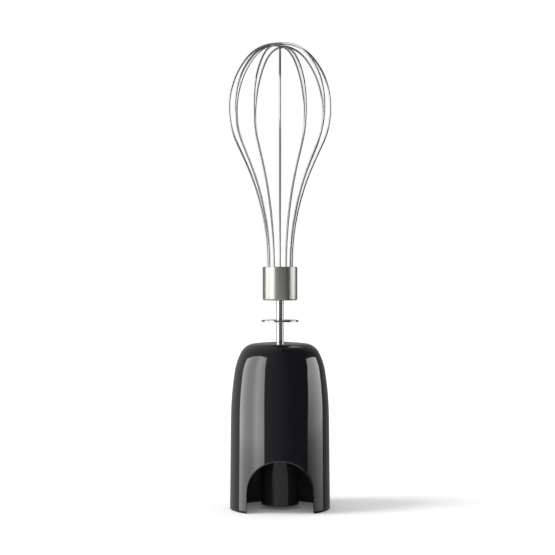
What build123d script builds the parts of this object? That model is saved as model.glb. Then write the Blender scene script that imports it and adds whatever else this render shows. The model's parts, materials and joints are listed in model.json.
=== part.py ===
from build123d import *
import os
from math import acos, cos, degrees, hypot, pi, radians, sin, tan

# Whisk attachment of a hand blender, standing on the open collar of its gear housing. Millimetres, +Z up
# along the common axis of the collar, the gears and the whisk. The origin is the middle of the collar's rim,
# and the collar's arch faces -Y.

# ---- driving dimensions -------------------------------------------------------------------------------

# outer housing: a drafted collar that runs into three rounding arcs and a slightly domed top
rim_radius = 26.0
housing_draft = 0.6
collar_height = 47.2
flank_radius = 167.0
flank_turn = 8.2
shoulder_radius = 32.3
shoulder_turn = 18.6
edge_radius = 8.8
edge_turn = 56.1
housing_wall = 2.2
rim_step_depth = 0.5
rim_step_height = 2.5

# arch in the front of the collar
arch_half_width = 16.85
arch_height = 27.0
arch_corner_radius = 1.2
arch_rounding = 0.3

# catch pockets in the collar's inner wall, for the motor unit's two snap lugs
catch_width = 9.0
catch_height = 4.0
catch_depth = 0.9
catch_level = 13.0

# coupling base: a plate across the collar with the boss that enters the motor unit
base_level = 28.0
base_thickness = 3.0
base_fit = 0.08
boss_radius = 9.8
boss_rim_level = 2.0
boss_rounding = 0.6
drive_recess_radius = 6.9
drive_recess_depth = 14.6

# drive coupling: a cup with four ribs inside, pressed on the input shaft
coupling_radius = 6.1
coupling_mouth_setback = 1.0
coupling_chamfer = 0.4
coupling_socket_radius = 4.2
coupling_socket_depth = 8.4
coupling_rib_count = 4
coupling_rib_width = 1.1
coupling_rib_height = 0.9
coupling_rib_setback = 1.0

# input shaft and its two bushes
input_radius = 2.0
bush_wall = 1.6
input_bush_length = 5.0
input_bush_flange = 0.9
input_flange_radius = 4.8
input_side_gap = 0.25
input_chamfer = 0.3
running_gap = 0.04
seat_gap = 0.02
circlip_thickness = 0.7
circlip_depth = 0.4
circlip_band = 1.2
circlip_mouth = 2.4

# planetary gear set
pressure_angle = 25.0
sun_teeth = 12
planet_teeth = 18
planet_count = 3
gear_width = 7.6
tooth_thinning = 0.06
tooth_addendum = 1.0
tooth_dedendum = 1.25
first_planet_angle = 90.0

# carrier: two discs around the planets, joined by pillars, with the output spindle on the upper one
carrier_rim_gap = 0.8
carrier_disc = 2.4
carrier_bottom_disc = 2.0
carrier_side_gap = 0.2
pillar_radius = 2.2
pillar_edge = 2.4
planet_pin_radius = 1.5
planet_recess = 0.3
planet_web_outer = 4.5
planet_web_inner = 2.7
carrier_screw_radius = 0.95
carrier_screw_length = 7.0
carrier_screw_head_radius = 1.75
carrier_screw_head_height = 1.0
journal_radius = 5.5
journal_length = 12.8
spindle_radius = 4.2
spindle_setback = 0.3
spindle_chamfer = 0.4
pin_seat_depth = 1.6
flat_end_gap = 0.4
circlip_gap = 0.1

# gear case above the base
gasket_thickness = 0.5
case_gap = 0.4
ring_side_gap = 0.4
ring_wall = 5.23
cover_thickness = 3.0
thrust_washer_thickness = 0.5
thrust_washer_radius = 9.5
tower_wall = 2.0
tower_height = 7.6
output_bush_wall = 1.5

# screws that go up through base, ring gear and cover into posts of the housing
case_screw_count = 3
case_screw_radius = 1.3
case_screw_edge = 2.8
case_screw_reach = 10.0
case_screw_head_radius = 2.5
case_screw_head_height = 1.7
screw_slot_width = 0.6
screw_slot_depth = 0.7
screw_hole_gap = 0.15
screw_thread_gap = 0.02
post_radius = 2.7
first_case_screw_angle = 30.0

# nose of the housing, round the spindle
nose_radius = 7.6
nose_length = 9.6
nose_bush_length = 4.6
nose_bush_wall = 1.7
nose_lip = 2.4
nose_hole_gap = 0.45
seal_lip_depth = 0.8
seal_hollow_share = 0.55
rib_count = 6
rib_thickness = 1.2
rib_level = 62.0

# whisk shaft and what is on it
shaft_radius = 2.0
shaft_foot_level = 55.0
shaft_flat_length = 7.0
shaft_flat_half = 1.6
shaft_fit = 0.03
shaft_tip_chamfer = 0.5
grip_ring_section = 0.75
grip_ring_level = 78.0
grip_groove_radius = 3.55
disc_level = 97.3
disc_radius = 9.65
disc_thickness = 1.0
disc_edge_share = 0.3

# ferrule and the plug inside it
ferrule_level = 108.0
ferrule_height = 17.4
ferrule_radius = 9.0
ferrule_wall = 0.7
ferrule_edge_radius = 0.9
ferrule_lip_radius = 0.3
holder_gap = 0.05
holder_setback = 0.9
shaft_head_reach = 11.0
strand_place = 6.3
strand_socket_depth = 12.0

# wire cage
wire_diameter = 1.05
loop_count = 6
belly_radius = 26.26
waist_corner_level = 155.0
waist_bend_radius = 125.0
flare_corner_level = 198.4
flare_bend_radius = 43.7
shoulder_corner_level = 223.3
shoulder_bend_radius = 38.7
shoulder_bend_turn = 40.3
shoulder_run = 0.4
crown_bend_radius = 19.8
crown_slope = 8.0
crown_corner_radius = 15.0
crown_layer_gap = 0.04
loop_legs = ((0, 150), (180, 330), (60, 210), (240, 30), (120, 270), (300, 90))

# ---- places worked out from the dimensions ------------------------------------------------------------

# margin by which a cutting tool runs past the face that it cuts through
past = 1.0

base_top = base_level + base_thickness
ring_bottom = base_top + gasket_thickness
carrier_bottom = ring_bottom + case_gap
planet_bottom = carrier_bottom + carrier_bottom_disc + carrier_side_gap
planet_top = planet_bottom + gear_width
carrier_disc_bottom = planet_top + carrier_side_gap
carrier_disc_top = carrier_disc_bottom + carrier_disc
cover_bottom = carrier_disc_top + thrust_washer_thickness + 2 * running_gap
cover_top = cover_bottom + cover_thickness
journal_top = carrier_disc_top + journal_length

ring_outer_radius = rim_radius - collar_height * tan(radians(housing_draft)) - housing_wall - ring_side_gap
case_screw_place = ring_outer_radius - case_screw_edge
ring_teeth = sun_teeth + 2 * planet_teeth
gear_module = (ring_outer_radius - ring_wall) / (ring_teeth / 2 + tooth_dedendum)
sun_pitch_radius = gear_module * sun_teeth / 2
planet_pitch_radius = gear_module * planet_teeth / 2
centre_distance = sun_pitch_radius + planet_pitch_radius
ring_pitch_radius = gear_module * ring_teeth / 2
carrier_radius = ring_pitch_radius - tooth_addendum * gear_module - carrier_rim_gap
pillar_place = carrier_radius - pillar_edge
planet_angles = [first_planet_angle + 360 / planet_count * k for k in range(planet_count)]
case_screw_angles = [first_case_screw_angle + 360 / case_screw_count * k for k in range(case_screw_count)]
pillar_angles = [angle + 180 / planet_count for angle in planet_angles]

output_bush_radius = journal_radius + running_gap + output_bush_wall
tower_radius = output_bush_radius + seat_gap + tower_wall
nose_bush_radius = spindle_radius + running_gap + nose_bush_wall


# ---- small helpers ------------------------------------------------------------------------------------

outward = (Align.MIN, Align.CENTER, Align.MIN)


def at(radius, angle, level=0.0):
    """A point at a radius and an angle in degrees round the axis."""
    return Vector(radius * cos(radians(angle)), radius * sin(radians(angle)), level)


def disc(radius, low, high, centre=(0, 0)):
    """A plain round of material between two levels."""
    return extrude(Plane((centre[0], centre[1], low)) * Circle(radius), high - low)


def tube(outer, inner, low, high, centre=(0, 0)):
    """A round with a hole right through it."""
    section = Circle(outer) - Circle(inner)
    return extrude(Plane((centre[0], centre[1], low)) * section, high - low)


def turned(points):
    """A body turned round the axis from the corners of its half section, each a radius and a level."""
    return revolve(Plane.XZ * make_face(Polyline(points, close=True)), Axis.Z)


def on_circle(shape, radius, angles):
    """Copies of a shape that stands at the axis, moved out to a radius at each angle."""
    return [Rot(0, 0, angle) * Pos(radius, 0, 0) * shape for angle in angles]


def joined(shape, pieces):
    """One solid out of a shape and the pieces that grow from it."""
    for piece in pieces:
        shape = shape + piece
    return shape


def cut(shape, tools):
    """A shape with each tool taken away."""
    for tool in tools:
        shape = shape - tool
    return shape


def save(shape, node):
    """One STEP file for each piece, or group of like pieces, under a plain name."""
    part = shape if not isinstance(shape, list) else Compound(children=[s.solid() for s in shape])
    export_step(part, f"parts/{node}.step")


# ---- housing ------------------------------------------------------------------------------------------


def housing_line(inset):
    """The housing's outline, moved in by inset: draft line, flank, shoulder, edge and dome."""
    draft = radians(housing_draft)
    foot = Vector(rim_radius - inset / cos(draft), 0)
    rise = Vector(rim_radius - collar_height * tan(draft), collar_height)
    rise = rise - Vector(inset * cos(draft), inset * sin(draft))
    line = Line(foot, rise)
    flank = JernArc(rise, line % 1, flank_radius - inset, flank_turn)
    shoulder = JernArc(flank @ 1, flank % 1, shoulder_radius - inset, shoulder_turn)
    edge = JernArc(shoulder @ 1, shoulder % 1, edge_radius - inset, edge_turn)
    turned_so_far = housing_draft + flank_turn + shoulder_turn + edge_turn
    dome_radius = (edge @ 1).X / cos(radians(turned_so_far))
    dome = JernArc(edge @ 1, edge % 1, dome_radius, 90 - turned_so_far)
    return [line, flank, shoulder, edge, dome]


def housing_solid(inset):
    """Everything inside the housing's outline, as a solid of revolution."""
    outline = housing_line(inset)
    top = outline[-1] @ 1
    foot = outline[0] @ 0
    closing = Polyline(top, (0, 0), foot)
    return revolve(Plane.XZ * make_face(outline + closing.edges()), Axis.Z)


def housing_top():
    """Level of the dome on the axis."""
    return (housing_line(0)[-1] @ 1).Y


def collar_radius(level, inset=0.0):
    """Radius of the drafted collar at a level."""
    return rim_radius - inset - level * tan(radians(housing_draft))


def arch_tool():
    """The arch's opening, as a block that runs out through the front of the collar."""
    spring_level = arch_height - arch_half_width
    outline = make_face(
        [
            Line((-arch_half_width, spring_level), (-arch_half_width, -rim_radius)),
            Line((-arch_half_width, -rim_radius), (arch_half_width, -rim_radius)),
            Line((arch_half_width, -rim_radius), (arch_half_width, spring_level)),
            RadiusArc((arch_half_width, spring_level), (-arch_half_width, spring_level), -arch_half_width),
        ]
    )
    return extrude(Plane.XZ * outline, rim_radius + past)


top_level = housing_top()
nose_seat = top_level - nose_lip
nose_low = top_level - nose_length


def housing_screw_post(angle):
    """A post on the housing's inside that a case screw threads into, ending on the gear cover."""
    centre = at(case_screw_place, angle)
    post = disc(post_radius, cover_top, nose_seat, (centre.X, centre.Y))
    pilot_top = cover_top + case_screw_reach + screw_hole_gap
    pilot = disc(case_screw_radius + screw_thread_gap, base_level, pilot_top, (centre.X, centre.Y))
    return post, pilot


def is_leg_corner(edge):
    """True for the two short edges through the wall where the arch's legs meet the rim."""
    middle = edge @ 0.5
    across = abs(abs(middle.X) - arch_half_width) < 0.01
    return across and abs(middle.Z) < 0.01 and middle.Y < 0 and edge.length < 2 * housing_wall


def is_outer_arch_edge(edge):
    """True for the arch's edges on the collar's outer face."""
    points = [edge @ share for share in (0.1, 0.5, 0.9)]
    outer = all(abs(hypot(p.X, p.Y) - collar_radius(p.Z)) < 0.02 for p in points)
    return outer and 0.02 < points[1].Z < arch_height + 0.02


def housing_shell():
    """The bare shell with its arch cut and its lower edges rounded."""
    shell = housing_solid(0) - housing_solid(housing_wall) - arch_tool()
    shell = fillet(shell.edges().filter_by(is_leg_corner), arch_corner_radius)
    return fillet(shell.edges().filter_by(is_outer_arch_edge), arch_rounding)


def make_outer_housing():
    """The glossy moulded shell, with its inner ribs, nose boss, screw posts and catch pockets."""
    web = Box(rim_radius, rib_thickness, top_level - rib_level, align=outward)
    ribs = on_circle(Pos(0, 0, rib_level) * web, 0, [360 / rib_count * k for k in range(rib_count)])
    posts = [housing_screw_post(angle) for angle in case_screw_angles]
    inner = disc(nose_radius, nose_low, top_level)
    inner = joined(inner, ribs + [post for post, _ in posts])
    shell = housing_shell() + (inner & housing_solid(housing_wall))
    bore = disc(nose_bush_radius + seat_gap, 0, nose_seat)
    mouth = disc(spindle_radius + nose_hole_gap, 0, top_level + past)
    rim_step = disc(collar_radius(rim_step_height, housing_wall) + rim_step_depth, -past, rim_step_height)
    shell = cut(shell, [bore, mouth, rim_step] + [pilot for _, pilot in posts])
    catch_radius = collar_radius(catch_level, housing_wall) + catch_depth
    catch = Box(2 * catch_radius, catch_width, catch_height)
    catch = Pos(0, 0, catch_level) * catch
    return shell - (catch & disc(catch_radius, 0, base_level))


# ---- gear case ----------------------------------------------------------------------------------------


def screw_holes(radius, low, high):
    """Tools for the case screws' holes between two levels."""
    hole = disc(radius, low, high)
    return on_circle(hole, case_screw_place, case_screw_angles)


def make_coupling_base():
    """The plate across the collar with its hollow boss, which holds both input bushes."""
    plate_radius = collar_radius(base_top, housing_wall) - base_fit
    plate = disc(plate_radius, base_level, base_top)
    boss = disc(boss_radius, boss_rim_level, base_level + base_thickness / 2)
    boss = fillet(boss.edges().filter_by(GeomType.CIRCLE).sort_by(Axis.Z)[0], boss_rounding)
    body = plate + boss
    recess = disc(drive_recess_radius, 0, boss_rim_level + drive_recess_depth)
    bore = disc(input_radius + running_gap + bush_wall + seat_gap, 0, base_top + past)
    through = screw_holes(case_screw_radius + screw_hole_gap, 0, base_top + past)
    heads = screw_holes(case_screw_head_radius + screw_hole_gap, 0, base_level + case_screw_head_height)
    return cut(body, [recess, bore] + through + heads)


def make_case_gasket():
    """Flat seal between the base and the ring gear."""
    ring = tube(ring_outer_radius, ring_root_radius(), base_top, ring_bottom)
    return cut(ring, screw_holes(case_screw_radius + screw_hole_gap, 0, cover_top))


def make_gear_cover():
    """Upper wall of the gear case, with the tower that holds the output bush."""
    cover = disc(ring_outer_radius, cover_bottom, cover_top)
    tower = disc(tower_radius, cover_bottom, cover_top + tower_height)
    bore = disc(output_bush_radius + seat_gap, 0, top_level)
    holes = screw_holes(case_screw_radius + screw_hole_gap, 0, cover_top + past)
    return cut(cover + tower, [bore] + holes)


def make_case_screws():
    """Pan-head screws that hold base, ring gear and cover to the housing's posts."""
    head_low = base_level + case_screw_head_height
    tip = cover_top + case_screw_reach
    shank = disc(case_screw_radius, head_low, tip)
    shank = chamfer(shank.edges().sort_by(Axis.Z)[-1], case_screw_radius / 2)
    head = disc(case_screw_head_radius, base_level, head_low)
    slot = Box(4 * case_screw_head_radius, screw_slot_width, 2 * screw_slot_depth)
    cross = [Pos(0, 0, base_level) * slot, Pos(0, 0, base_level) * Rot(0, 0, 90) * slot]
    screw = cut(shank + head, cross)
    return on_circle(screw, case_screw_place, case_screw_angles)


# ---- gears --------------------------------------------------------------------------------------------


def involute(angle):
    """The involute function of an angle in radians."""
    return tan(angle) - angle


def gear_face(teeth, addendum, dedendum, thinning):
    """Face of a spur gear with a tooth centred on +X. Each flank is an arc through three involute points."""
    pitch = gear_module * teeth / 2
    base = pitch * cos(radians(pressure_angle))
    tip = pitch + addendum * gear_module
    root = pitch - dedendum * gear_module
    foot = max(base, root)
    middle = (foot + tip) / 2
    half_tooth = (pi * gear_module / 2 - thinning) / 2 / pitch

    def half_angle(radius):
        return degrees(half_tooth + involute(radians(pressure_angle)) - involute(acos(base / radius)))

    pitch_angle = 360 / teeth
    edges = []
    for k in range(teeth):
        centre = pitch_angle * k
        rising = [at(r, centre - half_angle(r)) for r in (foot, middle, tip)]
        falling = [at(r, centre + half_angle(r)) for r in (tip, middle, foot)]
        root_end = at(root, centre + pitch_angle - half_angle(foot))
        root_start = at(root, centre + half_angle(foot))
        edges.append(ThreePointArc(rising))
        edges.append(ThreePointArc(rising[2], at(tip, centre), falling[0]))
        edges.append(ThreePointArc(falling))
        edges.append(ThreePointArc(root_start, at(root, centre + pitch_angle / 2), root_end))
        if foot > root:
            edges.append(Line(at(root, centre - half_angle(foot)), rising[0]))
            edges.append(Line(falling[2], root_start))
    return make_face(edges)


def ring_root_radius():
    """Radius of the bottom of the ring gear's tooth gaps."""
    return ring_pitch_radius + tooth_dedendum * gear_module


def make_sun_gear():
    """Pinion pressed on the input shaft."""
    face = gear_face(sun_teeth, tooth_addendum, tooth_dedendum, tooth_thinning)
    gear = extrude(Plane.XY.offset(planet_bottom) * face, gear_width)
    return gear - disc(input_radius + seat_gap, base_top, top_level)


def make_planet_gear(angle):
    """Idler on its pin. A gap faces the sun and a gap faces the ring's tooth."""
    face = gear_face(planet_teeth, tooth_addendum, tooth_dedendum, tooth_thinning)
    gear = extrude(Plane.XY.offset(planet_bottom) * face, gear_width)
    gear = gear - disc(planet_pin_radius + running_gap, base_top, top_level)
    recess = tube(planet_web_outer, planet_web_inner, planet_top - planet_recess, top_level)
    gear = gear - recess
    half_pitch = 180 / planet_teeth
    return Rot(0, 0, angle) * Pos(centre_distance, 0, 0) * Rot(0, 0, half_pitch) * gear


def make_ring_gear():
    """Fixed gear with teeth inside: the teeth are what is left between the cut gaps."""
    ring = disc(ring_outer_radius, ring_bottom, cover_bottom)
    gaps = gear_face(ring_teeth, tooth_dedendum, tooth_addendum, -tooth_thinning)
    gaps = Rot(0, 0, 180 / ring_teeth) * gaps
    ring = ring - extrude(Plane.XY.offset(ring_bottom) * gaps, cover_bottom - ring_bottom)
    return cut(ring, screw_holes(case_screw_radius + screw_hole_gap, base_top, cover_top))


# ---- input side ---------------------------------------------------------------------------------------

drive_recess_top = boss_rim_level + drive_recess_depth
coupling_low = boss_rim_level + coupling_mouth_setback
coupling_top = drive_recess_top - input_bush_flange - input_side_gap
socket_top = coupling_low + coupling_socket_depth
input_shaft_low = socket_top + input_side_gap
input_shaft_top = planet_top


def make_drive_coupling():
    """Cup with ribs in its mouth that takes the motor's drive shaft."""
    cup = disc(coupling_radius, coupling_low, coupling_top)
    cup = chamfer(cup.edges().sort_by(Axis.Z)[0], coupling_chamfer)
    cup = cup - disc(coupling_socket_radius, 0, socket_top)
    rib_length = coupling_socket_depth - coupling_rib_setback
    rib = Box(coupling_rib_height + seat_gap, coupling_rib_width, rib_length, align=outward)
    rib_place = coupling_socket_radius - coupling_rib_height
    angles = [360 / coupling_rib_count * k for k in range(coupling_rib_count)]
    rib = Pos(0, 0, coupling_low + coupling_rib_setback) * rib
    cup = joined(cup, on_circle(rib, rib_place, angles))
    return cup - disc(input_radius + seat_gap, 0, top_level)


def circlip_groove(radius, low):
    """Tool that cuts a circlip's groove into a shaft."""
    return tube(radius + past, radius - circlip_depth, low, low + circlip_thickness + 2 * seat_gap)


def make_circlip(radius, low):
    """Flat open ring that sits in a shaft's groove."""
    foot = low + seat_gap
    ring = tube(radius + circlip_band, radius - circlip_depth + seat_gap, foot, foot + circlip_thickness)
    mouth = Box(2 * radius + circlip_band, circlip_mouth, 2 * top_level, align=outward)
    return ring - mouth


def make_input_shaft():
    """Steel shaft from the coupling up through the sun gear."""
    shaft = disc(input_radius, input_shaft_low, input_shaft_top)
    shaft = chamfer(shaft.edges().filter_by(GeomType.CIRCLE), input_chamfer)
    return shaft - circlip_groove(input_radius, base_top + running_gap)


def make_input_bush_lower():
    """Flanged bush at the top of the boss's recess."""
    bore = input_radius + running_gap
    sleeve = tube(bore + bush_wall, bore, drive_recess_top, drive_recess_top + input_bush_length)
    flange = tube(input_flange_radius, bore, drive_recess_top - input_bush_flange, drive_recess_top)
    return sleeve + flange


def make_input_bush_upper():
    """Plain bush flush with the base's upper face."""
    bore = input_radius + running_gap
    return tube(bore + bush_wall, bore, base_top - input_bush_length, base_top)


# ---- carrier and output spindle -----------------------------------------------------------------------

pillar_low = carrier_bottom + carrier_bottom_disc
tower_top = cover_top + tower_height
spindle_circlip_level = tower_top + circlip_gap
spindle_top = top_level - spindle_setback


def shaft_section(radius, flat_half):
    """Round with two flats, for the shaft's driven end and the socket that drives it."""
    return Circle(radius) & Rectangle(4 * radius, 2 * flat_half)


def make_planet_carrier():
    """Upper disc with its pillars and the long hollow spindle that drives the whisk."""
    body = disc(carrier_radius, carrier_disc_bottom, carrier_disc_top)
    pillar = disc(pillar_radius, pillar_low, carrier_disc_bottom + carrier_disc / 2)
    body = joined(body, on_circle(pillar, pillar_place, pillar_angles))
    body = body + disc(journal_radius, carrier_disc_bottom, journal_top)
    body = body + disc(spindle_radius, journal_top, spindle_top)
    mouth_edge = body.edges().filter_by(GeomType.CIRCLE).sort_by(Axis.Z)[-1]
    body = chamfer(mouth_edge, spindle_chamfer)
    flat_top = shaft_foot_level + shaft_flat_length - flat_end_gap
    socket = shaft_section(shaft_radius + shaft_fit, shaft_flat_half + shaft_fit)
    socket = extrude(Plane.XY.offset(shaft_foot_level) * socket, flat_top - shaft_foot_level)
    bore = disc(shaft_radius + shaft_fit, flat_top, top_level)
    groove = disc(
        grip_groove_radius,
        grip_ring_level - grip_ring_section - running_gap,
        grip_ring_level + grip_ring_section + running_gap,
    )
    pin_hole = disc(planet_pin_radius + seat_gap, carrier_disc_bottom, carrier_disc_bottom + pin_seat_depth)
    pilot = disc(carrier_screw_radius + screw_thread_gap, pillar_low, pillar_low + carrier_screw_length)
    tools = [socket, bore, groove, circlip_groove(journal_radius, spindle_circlip_level)]
    tools += on_circle(pin_hole, centre_distance, planet_angles)
    tools += on_circle(pilot, pillar_place, pillar_angles)
    return cut(body, tools)


def make_carrier_plate():
    """Lower disc, screwed to the pillars, with a hole that the sun gear passes."""
    plate = disc(carrier_radius, carrier_bottom, pillar_low)
    sun_hole = disc(sun_pitch_radius + tooth_addendum * gear_module + case_gap, 0, top_level)
    pin_hole = disc(planet_pin_radius + seat_gap, pillar_low - pin_seat_depth, pillar_low)
    screw_hole = disc(carrier_screw_radius + screw_hole_gap, 0, top_level)
    head_top = carrier_bottom + carrier_screw_head_height
    head_hole = disc(carrier_screw_head_radius + screw_hole_gap, 0, head_top)
    tools = [sun_hole] + on_circle(pin_hole, centre_distance, planet_angles)
    tools += on_circle(screw_hole, pillar_place, pillar_angles)
    tools += on_circle(head_hole, pillar_place, pillar_angles)
    return cut(plate, tools)


def make_planet_pins():
    """Steel pins held between the two discs."""
    pin = disc(planet_pin_radius, pillar_low - pin_seat_depth, carrier_disc_bottom + pin_seat_depth)
    return on_circle(pin, centre_distance, planet_angles)


def make_carrier_screws():
    """Small screws with their heads sunk flush in the lower disc."""
    seat = carrier_bottom + carrier_screw_head_height
    head = disc(carrier_screw_head_radius, carrier_bottom, seat)
    tip = pillar_low + carrier_screw_length - screw_hole_gap
    shank = disc(carrier_screw_radius, seat, tip)
    slot = Box(4 * carrier_screw_head_radius, screw_slot_width, screw_slot_depth)
    screw = head + shank - Pos(0, 0, carrier_bottom) * slot
    return on_circle(screw, pillar_place, pillar_angles)


def make_thrust_washer():
    """Washer between the carrier and the cover."""
    low = carrier_disc_top + running_gap
    return tube(thrust_washer_radius, journal_radius + running_gap, low, low + thrust_washer_thickness)


def make_output_bush():
    """Bush in the cover's tower."""
    return tube(output_bush_radius, journal_radius + running_gap, cover_bottom, tower_top)


def make_nose_bush():
    """Upper bush, in the housing's nose."""
    return tube(nose_bush_radius, spindle_radius + running_gap, nose_low, nose_low + nose_bush_length)


def make_spindle_seal():
    """Rubber ring with a lip that keeps water and cream out of the gears."""
    low = nose_low + nose_bush_length + running_gap
    bore = spindle_radius + running_gap
    middle = (low + nose_seat) / 2
    hollow = (middle - low) * seal_hollow_share
    ring = tube(nose_bush_radius, bore, low, nose_seat)
    return ring - tube(bore + seal_lip_depth, bore / 2, middle - hollow, middle + hollow)


def make_grip_ring():
    """Rubber ring in the spindle's bore that holds the whisk's shaft by friction."""
    place = shaft_radius + running_gap + grip_ring_section
    section = Plane.XZ * Pos(place, grip_ring_level) * Circle(grip_ring_section)
    return revolve(section, Axis.Z)


# ---- whisk --------------------------------------------------------------------------------------------

holder_low = ferrule_level + ferrule_wall + seat_gap
shaft_head_level = ferrule_level + shaft_head_reach
holder_top = ferrule_level + ferrule_height - holder_setback
strand_foot = holder_top - strand_socket_depth


def make_whisk_shaft():
    """Polished shaft, with two flats at its foot and its head inside the wire holder."""
    shaft = disc(shaft_radius, shaft_foot_level, shaft_head_level)
    waste = Circle(shaft_radius + past) - shaft_section(shaft_radius + past, shaft_flat_half)
    shaft = shaft - extrude(Plane.XY.offset(shaft_foot_level) * waste, shaft_flat_length)
    head_edge = shaft.edges().filter_by(GeomType.CIRCLE).sort_by(Axis.Z)[-1]
    return chamfer(head_edge, shaft_tip_chamfer)


def make_splash_disc():
    """Thin round disc that keeps what is whisked off the coupling."""
    low = disc_level - disc_thickness / 2
    plate = disc(disc_radius, low, low + disc_thickness)
    plate = fillet(plate.edges().filter_by(GeomType.CIRCLE), disc_thickness * disc_edge_share)
    return plate - disc(shaft_radius + seat_gap, 0, ferrule_level)


def make_ferrule():
    """Drawn steel cup round the foot of the wires."""
    top = ferrule_level + ferrule_height
    cup = disc(ferrule_radius, ferrule_level, top)
    rims = cup.edges().filter_by(GeomType.CIRCLE).sort_by(Axis.Z)
    cup = fillet(rims[0], ferrule_edge_radius)
    inner = disc(ferrule_radius - ferrule_wall, ferrule_level + ferrule_wall, top + past)
    cup = cup - inner
    lips = cup.edges().filter_by(GeomType.CIRCLE).group_by(Axis.Z)[-1]
    cup = fillet(lips, ferrule_lip_radius)
    return cup - disc(shaft_radius + seat_gap, 0, top)


def make_wire_holder():
    """Plug in the ferrule with a blind hole for each strand and one for the shaft."""
    plug = disc(ferrule_radius - ferrule_wall - holder_gap, holder_low, holder_top)
    hole = disc(wire_diameter / 2 + shaft_fit, strand_foot, holder_top + past)
    angles = [angle for legs in loop_legs for angle in legs]
    tools = on_circle(hole, strand_place, angles)
    tools.append(disc(shaft_radius + seat_gap, 0, shaft_head_level + seat_gap))
    return cut(plug, tools)


def leg_points(angle, drop):
    """Corners of one leg of a loop, from its foot up to the last corner before the crown."""
    turn = radians(shoulder_bend_turn)
    rest = radians(90 - shoulder_bend_turn - crown_slope)
    reach = shoulder_bend_radius * tan(turn / 2) + shoulder_run + crown_bend_radius * tan(rest / 2)
    crown_place = belly_radius - reach * sin(turn)
    crown_level = shoulder_corner_level + reach * cos(turn)
    return [
        at(strand_place, angle, strand_foot + shaft_fit),
        at(strand_place, angle, waist_corner_level),
        at(belly_radius, angle, flare_corner_level - drop),
        at(belly_radius, angle, shoulder_corner_level - drop),
        at(crown_place, angle, crown_level - drop),
    ]


def make_whisk_wire(number):
    """One closed loop of wire: two legs, bent in plan at the crown so that it passes beside the axis."""
    layer = number // 2
    drop = layer * (wire_diameter + crown_layer_gap)
    first, second = loop_legs[number]
    up = leg_points(first, drop)
    down = leg_points(second, drop)
    last = up[-1]
    crown = Vector(0, 0, last.Z + hypot(last.X, last.Y) * tan(radians(crown_slope)))
    radii = [waist_bend_radius, flare_bend_radius, shoulder_bend_radius, crown_bend_radius]
    path = FilletPolyline(up + [crown] + down[::-1], radius=radii + [crown_corner_radius] + radii[::-1])
    section = Plane(path @ 0, z_dir=path % 0) * Circle(wire_diameter / 2)
    wire = sweep(section, path=path)
    share = wire.volume / (pi * wire_diameter ** 2 / 4 * path.length)
    print(f"whisk_wire_{number + 1}: length {path.length:.1f} mm, volume over section x length {share:.4f}")
    return wire


# ---- write the pieces ---------------------------------------------------------------------------------

os.makedirs("parts", exist_ok=True)

save(make_outer_housing(), "outer_housing")
save(make_coupling_base(), "coupling_base")
save(make_case_gasket(), "case_gasket")
save(make_ring_gear(), "ring_gear")
save(make_gear_cover(), "gear_cover")
save(make_case_screws(), "case_screws")
save(make_input_bush_lower(), "input_bush_lower")
save(make_input_bush_upper(), "input_bush_upper")
save(make_output_bush(), "output_bush")
save(make_nose_bush(), "nose_bush")
save(make_spindle_seal(), "spindle_seal")
save(make_thrust_washer(), "thrust_washer")
save(make_drive_coupling(), "drive_coupling")
save(make_input_shaft(), "input_shaft")
save(make_circlip(input_radius, base_top + running_gap), "input_circlip")
save(make_sun_gear(), "sun_gear")
save(make_planet_carrier(), "planet_carrier")
save(make_carrier_plate(), "carrier_plate")
save(make_planet_pins(), "planet_pins")
save(make_carrier_screws(), "carrier_screws")
save(make_circlip(journal_radius, spindle_circlip_level), "spindle_circlip")
save(make_grip_ring(), "grip_ring")
for number, planet_angle in enumerate(planet_angles):
    save(make_planet_gear(planet_angle), f"planet_gear_{number + 1}")
save(make_whisk_shaft(), "whisk_shaft")
save(make_splash_disc(), "splash_disc")
save(make_ferrule(), "ferrule")
save(make_wire_holder(), "wire_holder")
for number in range(loop_count):
    save(make_whisk_wire(number), f"whisk_wire_{number + 1}")
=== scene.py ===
"""Looks of a hand blender's whisk attachment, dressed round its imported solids.

The attachment stands on the open collar of its gear housing: a black bell with an arch in front, a round
boss inside it, and above it a thin shaft with a splash disc, a steel ferrule and six crossing wire loops.
Sizes are kept in metres, as the frame's are, and written in millimetres through the factor MM.
"""

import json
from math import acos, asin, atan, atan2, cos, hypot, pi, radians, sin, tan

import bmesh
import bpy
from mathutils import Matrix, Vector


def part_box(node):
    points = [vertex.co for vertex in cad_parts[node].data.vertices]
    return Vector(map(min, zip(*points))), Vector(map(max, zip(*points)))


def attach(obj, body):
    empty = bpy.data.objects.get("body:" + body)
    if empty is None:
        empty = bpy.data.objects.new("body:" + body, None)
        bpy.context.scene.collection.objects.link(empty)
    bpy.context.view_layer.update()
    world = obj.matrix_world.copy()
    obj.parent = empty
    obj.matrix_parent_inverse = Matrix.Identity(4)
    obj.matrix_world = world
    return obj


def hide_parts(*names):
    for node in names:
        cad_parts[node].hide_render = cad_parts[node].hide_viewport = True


bl_info = {
    "name": "Whisk attachment",
    "version": (1, 0, 0),
    "blender": (4, 5, 0),
    "location": "3D View > Sidebar > Whisk",
    "description": "Builds the surfaces, finishes and studio of a hand blender's whisk attachment",
    "category": "Object",
}

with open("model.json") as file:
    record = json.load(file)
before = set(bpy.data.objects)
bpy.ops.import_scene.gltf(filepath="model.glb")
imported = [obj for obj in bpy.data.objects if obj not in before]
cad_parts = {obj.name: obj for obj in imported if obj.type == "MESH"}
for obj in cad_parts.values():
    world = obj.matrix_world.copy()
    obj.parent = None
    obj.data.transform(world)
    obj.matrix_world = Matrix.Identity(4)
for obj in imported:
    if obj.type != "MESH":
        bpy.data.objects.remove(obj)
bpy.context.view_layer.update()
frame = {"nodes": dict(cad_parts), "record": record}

MM = 0.001


# ---- sizes and colours that a user would change ----


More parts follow.
